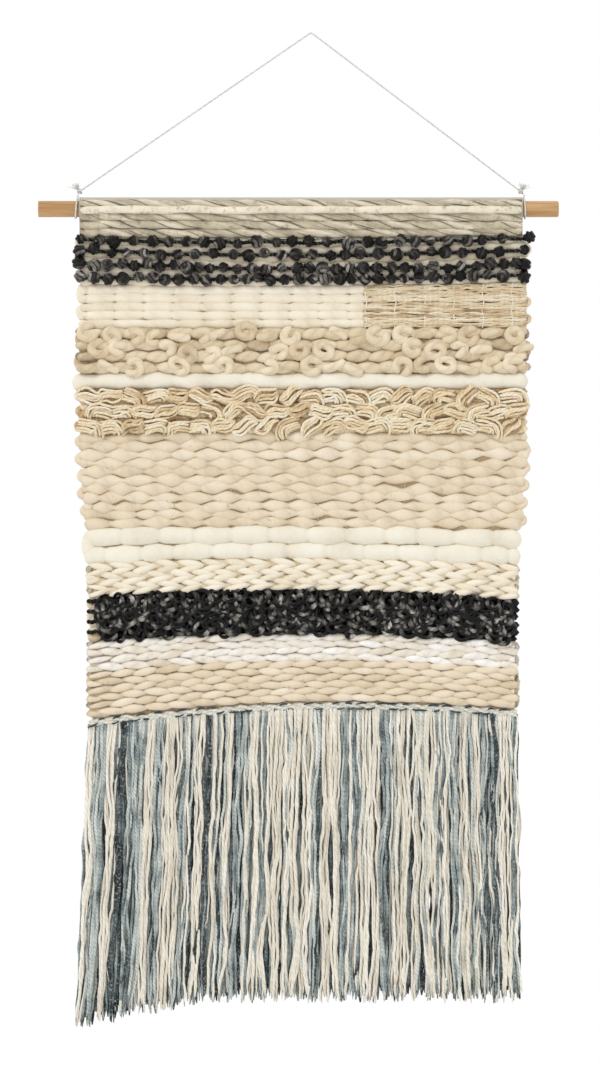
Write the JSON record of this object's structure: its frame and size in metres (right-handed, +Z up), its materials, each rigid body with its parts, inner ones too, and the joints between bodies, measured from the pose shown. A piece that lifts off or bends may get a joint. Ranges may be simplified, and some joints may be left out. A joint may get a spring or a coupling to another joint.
{
  "type": "tapestry wall hanging",
  "caption": "Woven wool wall hanging on a wooden dowel, with bands of different yarns, bobbles, loops and roving, a long cut fringe, and a hanging cord.",
  "frame": {"origin": "the point where the underside of the hanging cord rests on the nail", "axes": "+Z up the wall, +X to the viewer's right, the front faces -Y and the wall is on the +Y side"},
  "size_m": [0.61, 0.0264, 1.1641],
  "materials": {
    "cord_cotton": "twisted cotton, matt",
    "dowel_wood": "bare sanded wood with fine straight grain",
    "pocket_cotton": "plain woven cotton, matt",
    "warp_cotton": "plain cotton warp, matt",
    "marled_wool": "two-ply marled wool, cream with grey-brown",
    "cream_wool": "soft bulky cream wool",
    "charcoal_wool": "charcoal yarn with a slight sheen",
    "tan_wool": "bundles of fine tan and brown strands",
    "curl_wool": "thick natural beige wool with grey flecks",
    "roving_wool": "unspun off-white roving",
    "strand_wool": "bundles of fine cream, gold and pinkish strands",
    "natural_wool": "thick natural beige wool with grey flecks",
    "ivory_wool": "ivory wool with some shiny white fibre",
    "header_yarn": "pale blue-grey yarn with dark teal twists",
    "fringe_yarn": "cut strands of cream, natural, blue-grey and dark teal yarn"
  },
  "bodies": {
    "hanger": {"hanging_cord": "cord_cotton", "cord_knot_left": "cord_cotton", "cord_knot_right": "cord_cotton", "cord_loop_left": "cord_cotton", "cord_loop_right": "cord_cotton"},
    "rod": {"dowel": "dowel_wood"},
    "header": {"rod_pocket": "pocket_cotton", "marled_band": "marled_wool", "warp_header": "warp_cotton", "bobble_ground": "cream_wool", "bobble_row_1": "charcoal_wool", "bobble_row_2": "charcoal_wool", "bobble_row_3": "charcoal_wool", "bobble_row_4": "charcoal_wool"},
    "upper": {"warp_upper": "warp_cotton", "cream_block": "cream_wool", "tan_block": "tan_wool", "curl_band": "curl_wool"},
    "second": {"warp_second": "warp_cotton", "roving_row_1": "roving_wool", "strand_loop_row_1": "strand_wool", "strand_loop_row_2": "strand_wool", "strand_loop_row_3": "strand_wool"},
    "middle": {"warp_middle": "warp_cotton", "natural_band": "natural_wool"},
    "third": {"warp_third": "warp_cotton", "roving_row_2": "roving_wool", "roving_row_3": "roving_wool", "cream_soumak_row_1": "cream_wool", "cream_soumak_row_2": "cream_wool", "cream_soumak_row_3": "cream_wool"},
    "lower": {"warp_lower": "warp_cotton", "charcoal_loop_band": "charcoal_wool", "ivory_soumak_band": "ivory_wool", "natural_soumak_band": "natural_wool", "fringe_header": "header_yarn"},
    "tassel_01": {"tassel_01": "fringe_yarn"},
    "tassel_02": {"tassel_02": "fringe_yarn"},
    "tassel_03": {"tassel_03": "fringe_yarn"},
    "tassel_04": {"tassel_04": "fringe_yarn"},
    "tassel_05": {"tassel_05": "fringe_yarn"},
    "tassel_06": {"tassel_06": "fringe_yarn"},
    "tassel_07": {"tassel_07": "fringe_yarn"},
    "tassel_08": {"tassel_08": "fringe_yarn"},
    "tassel_09": {"tassel_09": "fringe_yarn"},
    "tassel_10": {"tassel_10": "fringe_yarn"},
    "tassel_11": {"tassel_11": "fringe_yarn"},
    "tassel_12": {"tassel_12": "fringe_yarn"},
    "tassel_13": {"tassel_13": "fringe_yarn"},
    "tassel_14": {"tassel_14": "fringe_yarn"},
    "tassel_15": {"tassel_15": "fringe_yarn"},
    "tassel_16": {"tassel_16": "fringe_yarn"},
    "tassel_17": {"tassel_17": "fringe_yarn"},
    "tassel_18": {"tassel_18": "fringe_yarn"},
    "tassel_19": {"tassel_19": "fringe_yarn"},
    "tassel_20": {"tassel_20": "fringe_yarn"},
    "tassel_21": {"tassel_21": "fringe_yarn"},
    "tassel_22": {"tassel_22": "fringe_yarn"}
  },
  "joints": [
    {"name": "dowel_slide", "type": "slide", "parent": "hanger", "child": "rod", "axis": [1, 0, 0], "range_m": [-0.035, 0.039]},
    {"name": "panel_swing", "type": "hinge", "parent": "hanger", "child": "header", "pos_m": [0, 0, -0.2053], "axis": [-1, 0, 0], "range_deg": [-90, 90]},
    {"name": "upper_bend", "type": "hinge", "parent": "header", "child": "upper", "pos_m": [0, 0.0008, -0.2956], "axis": [-1, 0, 0], "range_deg": [-30, 30]},
    {"name": "second_bend", "type": "hinge", "parent": "upper", "child": "second", "pos_m": [0, 0.0008, -0.3977], "axis": [-1, 0, 0], "range_deg": [-30, 30]},
    {"name": "middle_bend", "type": "hinge", "parent": "second", "child": "middle", "pos_m": [0, 0.0008, -0.468], "axis": [-1, 0, 0], "range_deg": [-30, 30]},
    {"name": "third_bend", "type": "hinge", "parent": "middle", "child": "third", "pos_m": [0, 0.0008, -0.5795], "axis": [-1, 0, 0], "range_deg": [-30, 30]},
    {"name": "lower_bend", "type": "hinge", "parent": "third", "child": "lower", "pos_m": [0, 0.0008, -0.6547], "axis": [-1, 0, 0], "range_deg": [-30, 30]},
    {"name": "tassel_01_swing", "type": "hinge", "parent": "lower", "child": "tassel_01", "pos_m": [-0.2496, 0.0008, -0.8071], "axis": [-1, 0, 0], "range_deg": [-90, 90]},
    {"name": "tassel_02_swing", "type": "hinge", "parent": "lower", "child": "tassel_02", "pos_m": [-0.2267, 0.0008, -0.8071], "axis": [-1, 0, 0], "range_deg": [-90, 90]},
    {"name": "tassel_03_swing", "type": "hinge", "parent": "lower", "child": "tassel_03", "pos_m": [-0.2038, 0.0008, -0.8071], "axis": [-1, 0, 0], "range_deg": [-90, 90]},
    {"name": "tassel_04_swing", "type": "hinge", "parent": "lower", "child": "tassel_04", "pos_m": [-0.181, 0.0008, -0.8071], "axis": [-1, 0, 0], "range_deg": [-90, 90]},
    {"name": "tassel_05_swing", "type": "hinge", "parent": "lower", "child": "tassel_05", "pos_m": [-0.1581, 0.0008, -0.8071], "axis": [-1, 0, 0], "range_deg": [-90, 90]},
    {"name": "tassel_06_swing", "type": "hinge", "parent": "lower", "child": "tassel_06", "pos_m": [-0.1353, 0.0008, -0.8071], "axis": [-1, 0, 0], "range_deg": [-90, 90]},
    {"name": "tassel_07_swing", "type": "hinge", "parent": "lower", "child": "tassel_07", "pos_m": [-0.1124, 0.0008, -0.8071], "axis": [-1, 0, 0], "range_deg": [-90, 90]},
    {"name": "tassel_08_swing", "type": "hinge", "parent": "lower", "child": "tassel_08", "pos_m": [-0.0895, 0.0008, -0.8071], "axis": [-1, 0, 0], "range_deg": [-90, 90]},
    {"name": "tassel_09_swing", "type": "hinge", "parent": "lower", "child": "tassel_09", "pos_m": [-0.0667, 0.0008, -0.8071], "axis": [-1, 0, 0], "range_deg": [-90, 90]},
    {"name": "tassel_10_swing", "type": "hinge", "parent": "lower", "child": "tassel_10", "pos_m": [-0.0438, 0.0008, -0.8071], "axis": [-1, 0, 0], "range_deg": [-90, 90]},
    {"name": "tassel_11_swing", "type": "hinge", "parent": "lower", "child": "tassel_11", "pos_m": [-0.0209, 0.0008, -0.8071], "axis": [-1, 0, 0], "range_deg": [-90, 90]},
    {"name": "tassel_12_swing", "type": "hinge", "parent": "lower", "child": "tassel_12", "pos_m": [0.0019, 0.0008, -0.8071], "axis": [-1, 0, 0], "range_deg": [-90, 90]},
    {"name": "tassel_13_swing", "type": "hinge", "parent": "lower", "child": "tassel_13", "pos_m": [0.0248, 0.0008, -0.8071], "axis": [-1, 0, 0], "range_deg": [-90, 90]},
    {"name": "tassel_14_swing", "type": "hinge", "parent": "lower", "child": "tassel_14", "pos_m": [0.0477, 0.0008, -0.8071], "axis": [-1, 0, 0], "range_deg": [-90, 90]},
    {"name": "tassel_15_swing", "type": "hinge", "parent": "lower", "child": "tassel_15", "pos_m": [0.0705, 0.0008, -0.8071], "axis": [-1, 0, 0], "range_deg": [-90, 90]},
    {"name": "tassel_16_swing", "type": "hinge", "parent": "lower", "child": "tassel_16", "pos_m": [0.0934, 0.0008, -0.8071], "axis": [-1, 0, 0], "range_deg": [-90, 90]},
    {"name": "tassel_17_swing", "type": "hinge", "parent": "lower", "child": "tassel_17", "pos_m": [0.1162, 0.0008, -0.8071], "axis": [-1, 0, 0], "range_deg": [-90, 90]},
    {"name": "tassel_18_swing", "type": "hinge", "parent": "lower", "child": "tassel_18", "pos_m": [0.1391, 0.0008, -0.8071], "axis": [-1, 0, 0], "range_deg": [-90, 90]},
    {"name": "tassel_19_swing", "type": "hinge", "parent": "lower", "child": "tassel_19", "pos_m": [0.162, 0.0008, -0.8071], "axis": [-1, 0, 0], "range_deg": [-90, 90]},
    {"name": "tassel_20_swing", "type": "hinge", "parent": "lower", "child": "tassel_20", "pos_m": [0.1848, 0.0008, -0.8071], "axis": [-1, 0, 0], "range_deg": [-90, 90]},
    {"name": "tassel_21_swing", "type": "hinge", "parent": "lower", "child": "tassel_21", "pos_m": [0.2077, 0.0008, -0.8071], "axis": [-1, 0, 0], "range_deg": [-90, 90]},
    {"name": "tassel_22_swing", "type": "hinge", "parent": "lower", "child": "tassel_22", "pos_m": [0.2306, 0.0008, -0.8071], "axis": [-1, 0, 0], "range_deg": [-90, 90]}
  ]
}
